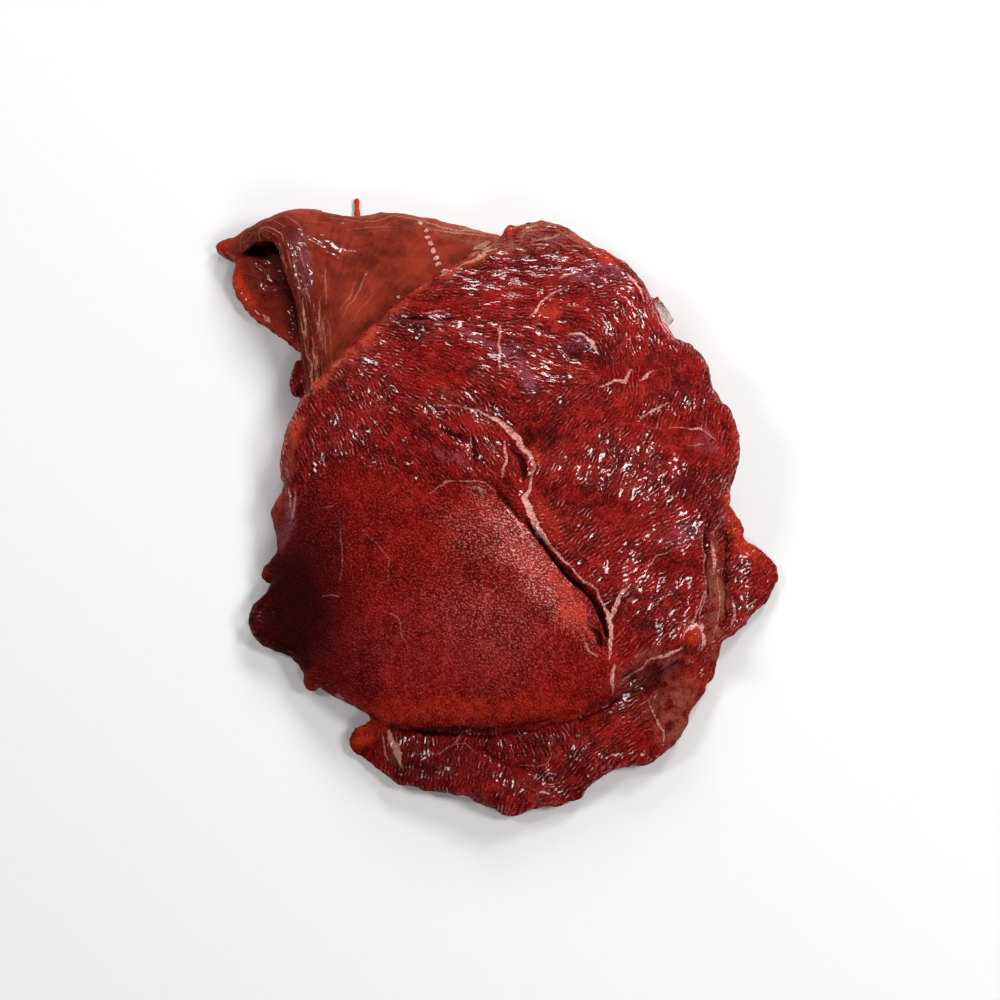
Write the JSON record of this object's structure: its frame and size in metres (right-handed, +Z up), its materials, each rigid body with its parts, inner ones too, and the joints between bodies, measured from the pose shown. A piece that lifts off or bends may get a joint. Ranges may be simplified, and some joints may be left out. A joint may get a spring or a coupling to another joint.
{
  "type": "raw beef steak",
  "caption": "Thick raw beef steak lying with its marbled cut face up, with a folded skin-covered flap and a thinner muscle beneath.",
  "frame": {"origin": "middle of the steak's box, on the surface that it lies on", "axes": "+Z up through the cut face, +Y to the back, where the folded flap is at the left, +X to the right"},
  "size_m": [0.204, 0.2368, 0.0371],
  "materials": {
    "raw_meat": "moist"
  },
  "bodies": {
    "root": {"beef_steak": "raw_meat"}
  },
  "joints": []
}
